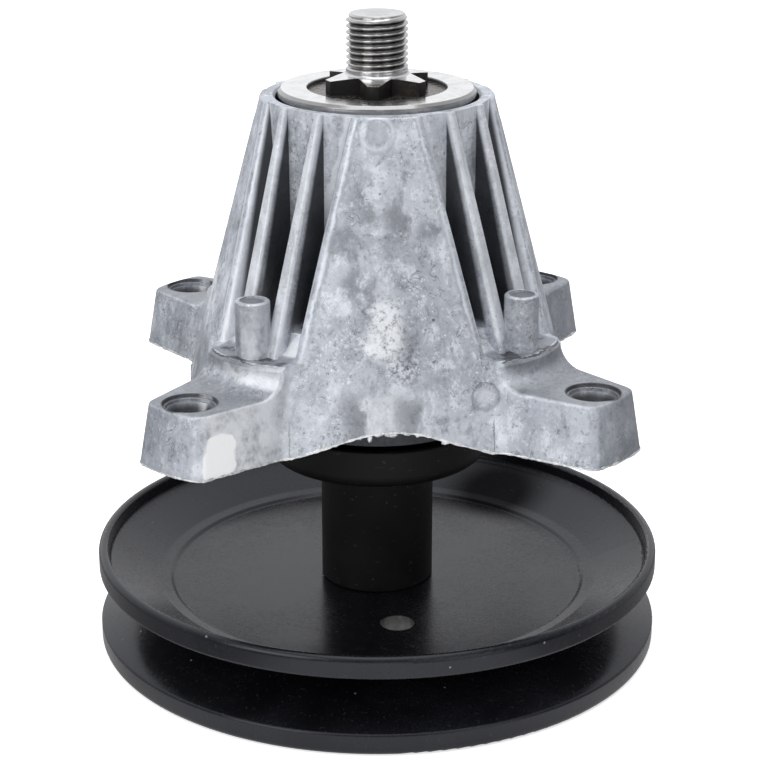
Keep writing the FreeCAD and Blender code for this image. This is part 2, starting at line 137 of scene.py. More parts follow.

# Places of single marks
# Painted highlight on the middle of the front panel
highlight_x = -2.2 * MM
highlight_z = 89.0 * MM
# Painted pale reflection down the front foot
foot_reflection_x = -2.0 * MM
speck_place = (3.0 * MM, -41.0 * MM, 81.0 * MM)
round_mark_place = (21.0 * MM, -40.6 * MM, 73.7 * MM)
round_mark_radius = 2.7 * MM
pin_mark_place = (-2.2 * MM, -27.7 * MM, 130.7 * MM)
pin_mark_radius = 3.5 * MM
pin_ring_radius = 4.3 * MM
white_patch_x = -38.4 * MM
white_patch_z = 65.6 * MM
white_patch_half_width = 3.6 * MM
white_patch_half_height = 6.4 * MM
white_patch_lean = -0.18
white_patch_lean_z = 66.0 * MM
# Painted dim reflection on the pulley's web at the back right
dim_reflection_place = (36.0 * MM, 44.0 * MM, 14.0 * MM)

# Camera, found from the photograph's own lines
camera_place = (-0.0377, -0.4788, 0.2326)
camera_tilt_deg = 70.55
camera_turn_deg = -4.5
camera_lens = 98.96
camera_shift = 0.00904

# Floor, and where its reflections grow dim behind the part and beside it
floor_half = 6.0
floor_gap = 0.1 * MM
dim_from_y, dim_full_y = -0.02, 0.06
dim_from_x, dim_full_x = 0.045, 0.09


def new_material(name):
    material = bpy.data.materials.new(name)
    material.use_nodes = True
    return material, material.node_tree, material.node_tree.nodes["Principled BSDF"]


def feed(tree, socket, value):
    """Links another node's output to a socket, or sets it to a constant."""
    if isinstance(value, bpy.types.NodeSocket):
        tree.links.new(value, socket)
    else:
        socket.default_value = value


def place(tree):
    return tree.nodes.new("ShaderNodeTexCoord").outputs["Object"]


def parts_of(tree, vector):
    """The x, y and z outputs of a vector."""
    node = tree.nodes.new("ShaderNodeSeparateXYZ")
    feed(tree, node.inputs[0], vector)
    return node.outputs[0], node.outputs[1], node.outputs[2]


def sums(tree, operation, first, *others):
    """A chain of the same operation, or one operation on a single value."""
    result = first
    for other in others or (0.0,):
        node = tree.nodes.new("ShaderNodeMath")
        node.operation = operation
        feed(tree, node.inputs[0], result)
        feed(tree, node.inputs[1], other)
        result = node.outputs[0]
    return result


def plan_distance(tree, x, y, centre_x, centre_y):
    """Distance from a centre, by two coordinates."""
    run = sums(tree, "SUBTRACT", x, centre_x)
    rise = sums(tree, "SUBTRACT", y, centre_y)
    squares = sums(tree, "ADD", sums(tree, "MULTIPLY", run, run), sums(tree, "MULTIPLY", rise, rise))
    return sums(tree, "SQRT", squares)


def away_from(tree, vector, point):
    node = tree.nodes.new("ShaderNodeVectorMath")
    node.operation = "DISTANCE"
    feed(tree, node.inputs[0], vector)
    node.inputs[1].default_value = point
    return node.outputs["Value"]


def stretched(tree, vector, scale):
    node = tree.nodes.new("ShaderNodeMapping")
    node.inputs["Scale"].default_value = scale
    feed(tree, node.inputs["Vector"], vector)
    return node.outputs[0]


def clouds(tree, vector, size, detail=5.0, roughness=0.55, distortion=0.0):
    """Noise from 0 to 1 with patches about size metres across."""
    node = tree.nodes.new("ShaderNodeTexNoise")
    feed(tree, node.inputs["Vector"], vector)
    node.inputs["Scale"].default_value = 1.0 / size
    node.inputs["Detail"].default_value = detail
    node.inputs["Roughness"].default_value = roughness
    node.inputs["Distortion"].default_value = distortion
    return node.outputs["Fac"]


def cells(tree, vector, size):
    """Distance to the nearest of scattered points about size metres apart."""
    node = tree.nodes.new("ShaderNodeTexVoronoi")
    feed(tree, node.inputs["Vector"], vector)
    node.inputs["Scale"].default_value = 1.0 / size
    return node.outputs["Distance"]


def between(tree, value, low, high, to_low=0.0, to_high=1.0):
    """Smooth step of a value between two limits."""
    node = tree.nodes.new("ShaderNodeMapRange")
    node.interpolation_type = "SMOOTHSTEP"
    feed(tree, node.inputs["Value"], value)
    if low > high:
        low, high, to_low, to_high = high, low, to_high, to_low
    node.inputs["From Min"].default_value = low
    node.inputs["From Max"].default_value = high
    node.inputs["To Min"].default_value = to_low
    node.inputs["To Max"].default_value = to_high
    return node.outputs["Result"]


def near(tree, value, middle, half, soft, strength=1.0):
    """1 where a value lies within half of middle, fading to 0 over soft."""
    gap = sums(tree, "ABSOLUTE", sums(tree, "SUBTRACT", value, middle))
    return between(tree, gap, half, half + soft, strength, 0.0)


def blend(tree, share, first, second):
    node = tree.nodes.new("ShaderNodeMix")
    node.data_type = "RGBA"
    feed(tree, node.inputs[0], share)
    feed(tree, node.inputs[6], first)
    feed(tree, node.inputs[7], second)
    return node.outputs[2]


def grey(level, blue=1.0):
    return (level, level * (2.0 + blue) / 3.0, level * blue, 1)


def relief(tree, height, strength, distance, under=None):
    """Bump from a height, over an earlier bump if there is one."""
    node = tree.nodes.new("ShaderNodeBump")
    node.inputs["Strength"].default_value = strength
    node.inputs["Distance"].default_value = distance
    feed(tree, node.inputs["Height"], height)
    if under is not None:
        feed(tree, node.inputs["Normal"], under)
    return node.outputs["Normal"]


def worn_edges(tree, radius):
    """Normals rounded over at the edges."""
    node = tree.nodes.new("ShaderNodeBevel")
    node.samples = 4
    node.inputs["Radius"].default_value = radius
    return node.outputs[0]


def facing(tree):
    """The x, y and z of the surface's direction in the piece's own frame."""
    return parts_of(tree, tree.nodes.new("ShaderNodeTexCoord").outputs["Normal"])


def cast_aluminium():
    """Raw die casting: cloudy greys, specks, flow lines, tool marks and a white patch, with painted shade on
    rib flanks, in gaps and holes and on faces turned up or aside, and painted highlights and reflections.
    """
    material, tree, shader = new_material("cast_aluminium")
    where = place(tree)
    x, y, z = parts_of(tree, where)
    side_x, side_y, side_z = facing(tree)
    plan_x = sums(tree, "ABSOLUTE", x)
    plan_y = sums(tree, "ABSOLUTE", y)
    radius = plan_distance(tree, x, y, 0.0, 0.0)
    off_corner = sums(tree, "ABSOLUTE", sums(tree, "SUBTRACT", plan_x, plan_y))
    broad = clouds(tree, where, 0.017, 4, 0.60, 0.3)
    mottle = clouds(tree, stretched(tree, where, (1.0, 1.0, 0.72)), 0.0050, 10, 0.70, 0.15)
    cluster = clouds(tree, where, 0.0130, 5, 0.60, 0.2)
    grain = clouds(tree, where, 0.0013, 8, 0.76)
    fleck = clouds(tree, where, 0.0008, 4, 0.65)
    colour = blend(tree, between(tree, broad, 0.36, 0.64), grey(0.44, 1.19), grey(0.60, 1.15))
    colour = blend(tree, between(tree, mottle, 0.50, 0.63, 0.0, 0.70), colour, grey(0.86, 1.10))
    colour = blend(tree, between(tree, mottle, 0.47, 0.34, 0.0, 0.6), colour, grey(0.22, 1.18))
    colour = blend(tree, between(tree, grain, 0.54, 0.66, 0.0, 0.55), colour, grey(0.14, 1.15))
    colour = blend(tree, between(tree, grain, 0.46, 0.34, 0.0, 0.50), colour, grey(0.90, 1.07))
    speckled = between(tree, cluster, 0.47, 0.60)
    dark_flecks = sums(tree, "MULTIPLY", between(tree, fleck, 0.56, 0.66, 0.0, 0.55), speckled)
    pale_flecks = sums(tree, "MULTIPLY", between(tree, fleck, 0.42, 0.34, 0.0, 0.8), speckled)
    colour = blend(tree, dark_flecks, colour, grey(0.07, 1.1))
    colour = blend(tree, pale_flecks, colour, grey(0.95, 1.02))
    flow = clouds(tree, where, 0.0085, 4, 0.55, 0.9)
    flow_line = sums(tree, "MULTIPLY", near(tree, flow, 0.5, 0.002, 0.007, 0.6),
                     between(tree, broad, 0.56, 0.46))
    colour = blend(tree, flow_line, colour, grey(0.13, 1.15))

    # Painted shade: low down, faces turned up, to the sides and to the right are darker than the front ones
    upward_shade = between(tree, side_z, 0.55, 0.95, 0.0, 0.62)
    sideways_shade = between(tree, sums(tree, "ABSOLUTE", side_x), 0.55, 0.95, 0.0, 0.35)
    low_part = between(tree, z, shelf_z - 1.0 * MM, shelf_z - 3.0 * MM)
    colour = blend(tree, sums(tree, "MULTIPLY", upward_shade, low_part), colour, grey(0.16, 1.15))
    colour = blend(tree, sums(tree, "MULTIPLY", sideways_shade, low_part), colour, grey(0.16, 1.18))
    right_end_shade = between(tree, side_x, 0.30, 0.70, 0.0, 0.5)
    colour = blend(tree, sums(tree, "MULTIPLY", right_end_shade, low_part), colour, grey(0.18, 1.18))

    # Painted highlight in the middle of each face, painted reflections as pale and dark streaks that run
    # down its foot, and a hairline where the flanks begin
    on_front = sums(tree, "GREATER_THAN", plan_y, plan_x)
    along = sums(tree, "ADD", sums(tree, "MULTIPLY", x, on_front),
                 sums(tree, "MULTIPLY", y, sums(tree, "SUBTRACT", 1.0, on_front)))
    wander = sums(tree, "ADD", along, between(tree, mottle, 0.3, 0.7, -2.0 * MM, 2.0 * MM))
    outer = between(tree, radius, foot_from_radius, foot_full_radius)
    outer_face = between(tree, sums(tree, "MULTIPLY", side_y, -1.0), 0.7, 0.9)
    squarest = sums(tree, "MAXIMUM", sums(tree, "ABSOLUTE", side_x), sums(tree, "ABSOLUTE", side_y))
    outer_panel = between(tree, squarest, 0.75, 0.90)
    low_down = sums(tree, "MULTIPLY", between(tree, z, streak_from_z, streak_full_z), outer)
    highlight_height = sums(tree, "MULTIPLY", near(tree, z, highlight_z, 4.0 * MM, 4.5 * MM), outer)
    panel_highlight = sums(tree, "MULTIPLY", near(tree, wander, highlight_x, 1.5 * MM, 3.8 * MM, 0.95),
                between(tree, grain, 0.64, 0.48), between(tree, mottle, 0.30, 0.42), highlight_height)
    colour = blend(tree, panel_highlight, colour, grey(0.97, 1.04))
    # Painted highlight in a band along each face's rounded edges, with a darker line just inside it
    half_width = sums(tree, "SUBTRACT", panel_top_half + housing_top_z * panel_spread,
                      sums(tree, "MULTIPLY", z, panel_spread))
    from_edge = sums(tree, "SUBTRACT", half_width, sums(tree, "ABSOLUTE", along))
    edge_gap = sums(tree, "ADD", from_edge, between(tree, mottle, 0.3, 0.7, -0.5 * MM, 0.5 * MM))
    on_panel = sums(tree, "MULTIPLY", outer_panel, between(tree, z, shelf_z, shelf_z + 6.0 * MM))
    edge_highlight = sums(tree, "MULTIPLY", near(tree, edge_gap, 0.6 * MM, 0.9 * MM, 0.6 * MM, 0.6), on_panel)
    colour = blend(tree, edge_highlight, colour, grey(0.86, 1.10))
    inner_line = sums(tree, "MULTIPLY", near(tree, edge_gap, 2.3 * MM, 0.1 * MM, 0.5 * MM, 0.3), on_panel)
    colour = blend(tree, inner_line, colour, grey(0.26, 1.18))
    for middle, height, reach in panel_smudges:
        gap = plan_distance(tree, wander, z, middle * MM, height * MM)
        smudge_and_dim_reflection = sums(tree, "MULTIPLY", between(tree, gap, reach * MM, 0.25 * reach * MM, 0.0, 0.75),
                      outer_face, between(tree, mottle, 0.58, 0.44))
        colour = blend(tree, smudge_and_dim_reflection, colour, grey(0.24, 1.17))
    # Painted reflections: a pale streak and dark streaks down each foot
    foot_reflection = sums(tree, "MULTIPLY", near(tree, wander, foot_reflection_x, 1.0 * MM, 4.0 * MM, 0.5),
                     between(tree, mottle, 0.36, 0.56), low_down)
    colour = blend(tree, foot_reflection, colour, grey(0.86, 1.03))
    for middle, strength in foot_dark_reflections:
        reflection_streak = near(tree, wander, middle * MM, 0.8 * MM, 3.2 * MM, strength)
        dark = sums(tree, "MULTIPLY", reflection_streak, low_down)
        colour = blend(tree, dark, colour, grey(0.20, 1.15))
    speck_gap = away_from(tree, where, speck_place)
    speck_spot = sums(tree, "MULTIPLY", between(tree, speck_gap, 6.0 * MM, 1.5 * MM),
                      between(tree, fleck, 0.46, 0.58, 0.0, 0.6))
    colour = blend(tree, speck_spot, colour, grey(0.08, 1.1))
    hairline_gap = sums(tree, "ADD", sums(tree, "ABSOLUTE", along),
                        between(tree, grain, 0.3, 0.7, -0.2 * MM, 0.2 * MM))
    hairline = sums(tree, "MULTIPLY", near(tree, hairline_gap, flank_line_half, 0.05 * MM, 0.14 * MM, 0.7),
                    between(tree, z, hairline_from_z, hairline_full_z),
                    between(tree, radius, hairline_from_radius, hairline_full_radius))
    colour = blend(tree, hairline, colour, grey(0.10))

    # Round tool marks beside the front face and near its top, and small pits
    mark = away_from(tree, where, round_mark_place)
    mark = sums(tree, "ADD", mark, between(tree, mottle, 0.3, 0.7, -0.7 * MM, 0.7 * MM))
    mark_rim = near(tree, mark, round_mark_radius, 0.1 * MM, 0.8 * MM, 0.35)
    colour = blend(tree, mark_rim, colour, grey(0.20, 1.1))
    colour = blend(tree, between(tree, mark, 2.0 * MM, 0.6 * MM, 0.0, 0.45), colour, grey(0.82, 1.04))
    pin_mark = away_from(tree, where, pin_mark_place)
    pin_mark = sums(tree, "ADD", pin_mark, between(tree, mottle, 0.3, 0.7, -0.3 * MM, 0.3 * MM))
    colour = blend(tree, between(tree, pin_mark, 3.0 * MM, 2.2 * MM, 0.0, 0.6), colour, grey(0.46, 1.17))
    pin_rim = near(tree, pin_mark, pin_mark_radius, 0.1 * MM, 0.7 * MM, 0.4)
    colour = blend(tree, pin_rim, colour, grey(0.80, 1.10))
    pin_ring = near(tree, pin_mark, pin_ring_radius, 0.1 * MM, 0.5 * MM, 0.2)
    colour = blend(tree, pin_ring, colour, grey(0.26, 1.15))
    pits = cells(tree, where, 0.009)
    colour = blend(tree, between(tree, pits, 0.05, 0.03, 0.0, 0.8), colour, grey(0.07))

    # Shelf at each corner: painted light on its sloped top, painted shade on its level part, a torn dark
    # line at its edge and a shaded cove below
    at_corner = between(tree, off_corner, 15.5 * MM, 14.0 * MM)
    shelf_light = sums(tree, "MULTIPLY", at_corner, near(tree, z, shelf_z + 3.2 * MM, 2.2 * MM, 1.2 * MM, 0.8),
                     between(tree, mottle, 0.34, 0.56), between(tree, side_z, 0.2, 0.6))
    colour = blend(tree, shelf_light, colour, grey(0.92, 1.03))
    # Painted shade on the level part of the shelf
    shelf_flat_shade = sums(tree, "MULTIPLY", at_corner, near(tree, z, shelf_z, 0.3 * MM, 0.5 * MM, 0.65),
                      between(tree, side_z, 0.7, 0.9))
    colour = blend(tree, shelf_flat_shade, colour, grey(0.20, 1.16))
    cove = sums(tree, "MULTIPLY", at_corner, between(tree, z, cove_from_z, cove_full_z, 0.0, 0.6),
                between(tree, z, shelf_z - 0.1 * MM, shelf_z - 0.3 * MM))
    colour = blend(tree, cove, colour, grey(0.12, 1.15))
    torn = sums(tree, "ADD", z, between(tree, mottle, 0.3, 0.7, -0.35 * MM, 0.35 * MM))
    edge_line = sums(tree, "MULTIPLY", at_corner,
                     near(tree, torn, shelf_z - 0.25 * MM, 0.06 * MM, 0.16 * MM, 0.85),
                     between(tree, cluster, 0.36, 0.46))
    colour = blend(tree, edge_line, colour, grey(0.04, 1.1))

    # Dark post tops, painted shade on the post sides and in the hollows of the bolt holes, and dark rings at
    # the holes' edges
    post_gap = plan_distance(tree, plan_x, plan_y, post_half, post_half)
    post_top = sums(tree, "MULTIPLY", between(tree, post_gap, 2.9 * MM, 2.5 * MM),
                    between(tree, z, post_top_z - 1.0 * MM, post_top_z - 0.8 * MM, 0.0, 0.75))
    colour = blend(tree, post_top, colour, grey(0.10, 1.1))
    # Painted shade on the post sides near the shelf
    post_side_shade = sums(tree, "MULTIPLY", between(tree, post_gap, 5.2 * MM, 4.6 * MM),
                     between(tree, side_z, 0.6, 0.3, 0.0, 0.4),
                     between(tree, z, shelf_z + 1.0 * MM, shelf_z + 3.0 * MM))
    colour = blend(tree, post_side_shade, colour, grey(0.14, 1.15))
    hole_gap = plan_distance(tree, plan_x, plan_y, foot_hole_half, foot_hole_half)
    # Painted shade in the hollow of each bolt hole
    hole = sums(tree, "MULTIPLY", between(tree, hole_gap, 6.4 * MM, 5.9 * MM),
                between(tree, z, foot_top_z - 0.5 * MM, foot_top_z - 3.0 * MM, 0.0, 0.93))
    colour = blend(tree, hole, colour, grey(0.04, 1.1))
    hole_edge = sums(tree, "MULTIPLY", near(tree, hole_gap, foot_hole_radius, 0.12 * MM, 0.3 * MM, 0.8),
                     between(tree, z, foot_top_z - 2.0 * MM, foot_top_z - 1.0 * MM))
    colour = blend(tree, hole_edge, colour, grey(0.05, 1.1))

    # Painted shade on the flanks of the ribs, on the tube's wall, growing on the way down, and inside the
    # casting low down
    face = sums(tree, "SUBTRACT", housing_top_radius + housing_top_z * flare_slope,
                sums(tree, "MULTIPLY", z, flare_slope))
    depth = sums(tree, "SUBTRACT", face, radius)
    outward = sums(tree, "DIVIDE", sums(tree, "ADD", sums(tree, "MULTIPLY", x, side_x),
                                        sums(tree, "MULTIPLY", y, side_y)), radius)
    above = between(tree, z, collar_top_z - 0.5 * MM, collar_top_z + 2.0 * MM)
    flank = sums(tree, "MULTIPLY", between(tree, outward, 0.85, 0.60),
                 between(tree, depth, 0.3 * MM, 1.6 * MM), above, between(tree, side_z, 0.8, 0.5))
    wall = sums(tree, "MULTIPLY", between(tree, depth, 2.0 * MM, 4.0 * MM),
                between(tree, z, wall_from_z, wall_full_z), above)
    inside = sums(tree, "MULTIPLY",
                  between(tree, radius, inside_from_radius, inside_full_radius, 0.0, 0.9),
                  between(tree, z, inside_from_z, inside_full_z))
    # Painted shade in the gaps: rib flanks, tube wall and the inside
    gap_shade = sums(tree, "MAXIMUM", sums(tree, "MULTIPLY", flank, 0.94), sums(tree, "MULTIPLY", wall, 0.96),
                inside)
    colour = blend(tree, gap_shade, colour, grey(0.024, 1.3))
    # Painted highlight along the rib tips
    rib_face = sums(tree, "SUBTRACT", rib_top_reach + housing_top_z * rib_slope,
                    sums(tree, "MULTIPLY", z, rib_slope))
    off_rib_face = sums(tree, "SUBTRACT", radius, rib_face)
    tip = sums(tree, "MULTIPLY", near(tree, off_rib_face, 0.0, 0.4 * MM, 0.9 * MM, 0.45),
               between(tree, off_corner, 12.5 * MM, 11.0 * MM),
               between(tree, z, shelf_z + 2.0 * MM, shelf_z + 6.0 * MM))
    colour = blend(tree, tip, colour, grey(0.80, 1.07))

    # Bright white patch on one flank, with a paler surround
    lean = sums(tree, "MULTIPLY", sums(tree, "SUBTRACT", z, white_patch_lean_z), white_patch_lean)
    leaning_x = sums(tree, "ADD", x, lean)
    patch_x = sums(tree, "MULTIPLY", sums(tree, "SUBTRACT", leaning_x, white_patch_x), 1.0 / white_patch_half_width)
    patch_z = sums(tree, "MULTIPLY", sums(tree, "SUBTRACT", z, white_patch_z), 1.0 / white_patch_half_height)
    patch = sums(tree, "ADD", plan_distance(tree, patch_x, patch_z, 0.0, 0.0),
                 between(tree, broad, 0.3, 0.7, -0.35, 0.35), between(tree, mottle, 0.3, 0.7, -0.08, 0.08))
    on_flank = between(tree, y, flank_from_y, flank_full_y)
    patch_surround = sums(tree, "MULTIPLY", between(tree, patch, 6.0, 1.5, 0.0, 0.85),
                between(tree, x, surround_from_x, surround_full_x),
                between(tree, side_y, -0.5, -0.7), between(tree, mottle, 0.34, 0.56, 0.35, 1.0))
    colour = blend(tree, patch_surround, colour, grey(0.94, 1.05))
    patch = sums(tree, "MULTIPLY", between(tree, patch, 1.04, 0.94), on_flank)
    colour = blend(tree, patch, colour, grey(1.0, 1.0))
    feed(tree, shader.inputs["Base Color"], colour)
    shade_and_patch = sums(tree, "MAXIMUM", gap_shade, patch)
    feed(tree, shader.inputs["Metallic"], between(tree, shade_and_patch, 0.0, 1.0, 0.45, 0.05))
    feed(tree, shader.inputs["Roughness"], between(tree, mottle, 0.3, 0.75, 0.34, 0.54))
    feed(tree, shader.inputs["Specular IOR Level"], between(tree, gap_shade, 0.0, 1.0, 0.5, 0.15))
    rough = relief(tree, grain, 0.55, 0.18 * MM, worn_edges(tree, 0.3 * MM))
    lumps = relief(tree, mottle, 0.45, 0.5 * MM, rough)
    ring = near(tree, mark, 2.6 * MM, 0.1 * MM, 0.6 * MM)
    feed(tree, shader.inputs["Normal"], relief(tree, ring, 0.6, -0.25 * MM, lumps))
    return material


def flash_aluminium():
    """Bright torn metal left along the mould's parting edges."""
    material, tree, shader = new_material("flash_aluminium")
    where = place(tree)
    torn = clouds(tree, where, 0.0024, 6, 0.7, 0.6)
    colour = blend(tree, between(tree, torn, 0.36, 0.62), grey(0.50, 1.05), grey(0.90, 1.02))
    feed(tree, shader.inputs["Base Color"], colour)
    shader.inputs["Metallic"].default_value = 0.6
    feed(tree, shader.inputs["Roughness"], between(tree, torn, 0.3, 0.7, 0.30, 0.5))
    feed(tree, shader.inputs["Normal"], relief(tree, clouds(tree, where, 0.0007, 4, 0.6), 0.4, 0.15 * MM))
    return material


def turned_steel():
    """Bright turned steel with painted shade on the thread flanks and in the thread roots, a brown recess
    and black scale on the star's sides.
    """
    material, tree, shader = new_material("turned_steel")
    where = place(tree)
    x, y, z = parts_of(tree, where)
    radius = plan_distance(tree, x, y, 0.0, 0.0)
    fine = clouds(tree, where, 0.0012, 6, 0.68)
    patch = clouds(tree, where, 0.005, 6, 0.65, 0.6)
    bright = blend(tree, between(tree, patch, 0.4, 0.7), grey(0.86, 0.99), grey(0.70, 0.97))
    scale = blend(tree, between(tree, patch, 0.52, 0.74), (0.004, 0.0036, 0.0032, 1), (0.05, 0.032, 0.02, 1))
    brown = blend(tree, between(tree, fine, 0.36, 0.66), (0.035, 0.028, 0.022, 1), (0.26, 0.235, 0.21, 1))
    in_recess = sums(tree, "MULTIPLY",
                     between(tree, radius, recess_radius + 0.15 * MM, recess_radius - 0.05 * MM),
                     between(tree, z, disc_top_z - 1.6 * MM, disc_top_z - 1.3 * MM))
    level_face = between(tree, facing(tree)[2], 0.5, 0.8)
    floor_part = sums(tree, "MULTIPLY", in_recess, level_face,
                      between(tree, z, disc_top_z - 0.10 * MM, disc_top_z - 0.4 * MM))
    star_side = sums(tree, "MULTIPLY", in_recess, sums(tree, "SUBTRACT", 1.0, level_face),
                     between(tree, z, neck_bottom_z, neck_bottom_z - 0.15 * MM))
    neck = sums(tree, "MULTIPLY", between(tree, z, neck_bottom_z - 0.1 * MM, neck_bottom_z + 0.1 * MM),
                between(tree, z, thread_start_z + 0.9 * MM, thread_start_z + 0.5 * MM, 0.0, 0.85),
                between(tree, radius, thread_radius + 0.5 * MM, thread_radius + 0.3 * MM))
    on_thread = sums(tree, "MULTIPLY",
                     between(tree, z, thread_start_z + 0.3 * MM, thread_start_z + 0.8 * MM),
                     between(tree, z, shaft_top_z - 0.9 * MM, shaft_top_z - 1.2 * MM))
    # Painted shade on the thread flanks, darkest in the roots
    flank = sums(tree, "MULTIPLY", on_thread,
                 between(tree, radius, thread_radius - 0.09 * MM, thread_radius - 0.23 * MM, 0.0, 0.8))
    root = sums(tree, "MULTIPLY", on_thread,
                between(tree, radius, thread_radius - 0.66 * MM, thread_radius - 0.82 * MM, 0.0, 0.95))
    disc_edge = sums(tree, "MULTIPLY",
                     between(tree, radius, disc_edge_radius, disc_edge_radius + 0.2 * MM, 0.0, 0.8),
                     between(tree, z, disc_top_z - 5.0 * MM, disc_top_z - 4.0 * MM))
    colour = blend(tree, disc_edge, bright, grey(0.24, 0.98))
    colour = blend(tree, floor_part, colour, brown)
    colour = blend(tree, star_side, colour, scale)
    colour = blend(tree, neck, colour, grey(0.55, 1.02))
    colour = blend(tree, sums(tree, "MULTIPLY", on_thread, 0.6), colour, grey(0.42, 0.97))
    thread_end = between(tree, z, shaft_top_z - 1.3 * MM, shaft_top_z - 1.1 * MM, 0.0, 0.8)
    colour = blend(tree, thread_end, colour, grey(0.56, 0.98))
    colour = blend(tree, flank, colour, grey(0.38, 0.96))
    colour = blend(tree, root, colour, grey(0.02, 0.9))
    feed(tree, shader.inputs["Base Color"], colour)
    dull = sums(tree, "MAXIMUM", sums(tree, "MULTIPLY", floor_part, 0.35), star_side)
    feed(tree, shader.inputs["Metallic"], between(tree, dull, 0.0, 1.0, 1.0, 0.15))
    keen = between(tree, fine, 0.3, 0.7, 0.13, 0.24)
    feed(tree, shader.inputs["Roughness"], sums(tree, "ADD", keen, between(tree, dull, 0.0, 1.0, 0.0, 0.35)))
    rings = tree.nodes.new("ShaderNodeTexNoise")
    rings.noise_dimensions = "1D"
    rings.inputs["Scale"].default_value = 1.0 / (0.35 * MM)
    rings.inputs["Detail"].default_value = 3.0
    feed(tree, rings.inputs["W"], radius)
    turned = relief(tree, rings.outputs["Fac"], 0.05, 0.04 * MM, worn_edges(tree, 0.25 * MM))
    scaly = sums(tree, "MULTIPLY", fine, dull)
    feed(tree, shader.inputs["Normal"], relief(tree, scaly, 0.5, 0.3 * MM, turned))
    return material


def black_paint():
    """Satin black paint on stamped sheet, with orange peel, dust, nibs, rubbed arcs and a painted dim
    reflection at the back right.
    """
    material, tree, shader = new_material("black_paint")
    where = place(tree)
    haze = clouds(tree, where, 0.022, 6, 0.6, 0.5)
    dust = clouds(tree, where, 0.0009, 4, 0.65)
    nibs = cells(tree, where, 0.0075)
    scuffs = clouds(tree, stretched(tree, where, (0.12, 1.0, 1.0)), 0.0016, 3, 0.6, 0.4)
    scuffed = sums(tree, "MULTIPLY", between(tree, scuffs, 0.70, 0.76), between(tree, haze, 0.5, 0.62))
    colour = blend(tree, between(tree, haze, 0.35, 0.68),
                   (0.0034, 0.0036, 0.0046, 1), (0.0070, 0.0074, 0.0094, 1))
    colour = blend(tree, between(tree, dust, 0.60, 0.76, 0.0, 0.30), colour, grey(0.10, 1.1))
    colour = blend(tree, between(tree, nibs, 0.045, 0.025, 0.0, 0.7), colour, grey(0.30, 0.9))
    colour = blend(tree, sums(tree, "MULTIPLY", scuffed, 0.35), colour, grey(0.05, 1.0))
    feed(tree, shader.inputs["Base Color"], colour)
    dusty = between(tree, dust, 0.35, 0.70, -0.03, 0.06)
    hazy = between(tree, haze, 0.3, 0.72, 0.19, 0.28)
    feed(tree, shader.inputs["Roughness"], sums(tree, "ADD", hazy, dusty))
    # Painted dim reflection: less specular near the back right of the web
    dim_reflection_gap = away_from(tree, where, dim_reflection_place)
    smudge_and_dim_reflection = between(tree, dim_reflection_gap, 20.0 * MM, 7.0 * MM, 0.42, 0.03)
    feed(tree, shader.inputs["Specular IOR Level"], smudge_and_dim_reflection)
    shader.inputs["Specular Tint"].default_value = (0.88, 0.90, 1.0, 1)
    peel = relief(tree, clouds(tree, where, 0.0014, 4, 0.6), 0.16, 0.06 * MM, worn_edges(tree, 0.4 * MM))
    bumps = relief(tree, between(tree, nibs, 0.06, 0.0), 0.4, 0.3 * MM, peel)
    feed(tree, shader.inputs["Normal"], bumps)
    return material


def black_oxide():
    """Near-black satin finish with fine pale specks."""
    material, tree, shader = new_material("black_oxide")
    where = place(tree)
    haze = clouds(tree, where, 0.012, 6, 0.6, 0.4)
    specks = cells(tree, where, 0.0032)
    lint = clouds(tree, stretched(tree, where, (0.35, 0.35, 1.0)), 0.0009, 2, 0.5)
    colour = blend(tree, between(tree, haze, 0.35, 0.68),
                   (0.0028, 0.0028, 0.0029, 1), (0.0056, 0.0055, 0.0054, 1))
    colour = blend(tree, between(tree, specks, 0.08, 0.04, 0.0, 0.45), colour, grey(0.12, 0.95))
    colour = blend(tree, between(tree, lint, 0.66, 0.78, 0.0, 0.4), colour, grey(0.06, 0.95))
    feed(tree, shader.inputs["Base Color"], colour)
    feed(tree, shader.inputs["Roughness"], between(tree, haze, 0.3, 0.7, 0.50, 0.62))
    shader.inputs["Specular IOR Level"].default_value = 0.28
    fine = relief(tree, clouds(tree, where, 0.0012, 3, 0.55), 0.12, 0.06 * MM, worn_edges(tree, 0.3 * MM))
    feed(tree, shader.inputs["Normal"], fine)
    return material


def plain_steel(name, colour_low, colour_high, roughness, grain):
    """Steel whose shade drifts between two colours."""
    material, tree, shader = new_material(name)
    where = place(tree)
    drift = clouds(tree, where, grain, 5, 0.6, 0.3)
    colour = blend(tree, between(tree, drift, 0.35, 0.66), colour_low, colour_high)
    feed(tree, shader.inputs["Base Color"], colour)
    shader.inputs["Metallic"].default_value = 1.0
    sheen = between(tree, drift, 0.3, 0.7, roughness - 0.06, roughness + 0.08)
    feed(tree, shader.inputs["Roughness"], sheen)
    brushed = clouds(tree, where, grain / 6, 3, 0.5)
    feed(tree, shader.inputs["Normal"], relief(tree, brushed, 0.08, 0.04 * MM))
    return material


def seal_rubber():
    material, tree, shader = new_material("seal_rubber")
    where = place(tree)
    drift = clouds(tree, where, 0.004, 5, 0.6)
    feed(tree, shader.inputs["Base Color"],
         blend(tree, between(tree, drift, 0.35, 0.66), (0.012, 0.012, 0.013, 1), (0.028, 0.027, 0.027, 1)))
    feed(tree, shader.inputs["Roughness"], between(tree, drift, 0.3, 0.7, 0.55, 0.72))
    feed(tree, shader.inputs["Normal"], relief(tree, clouds(tree, where, 0.0006, 2, 0.5), 0.12, 0.05 * MM))
    return material


def mesh_piece(name, mesh_data, material, body):
    piece = bpy.data.objects.new(name, mesh_data)
    bpy.context.scene.collection.objects.link(piece)
    mesh_data.materials.append(material)
    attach(piece, body)
    return piece


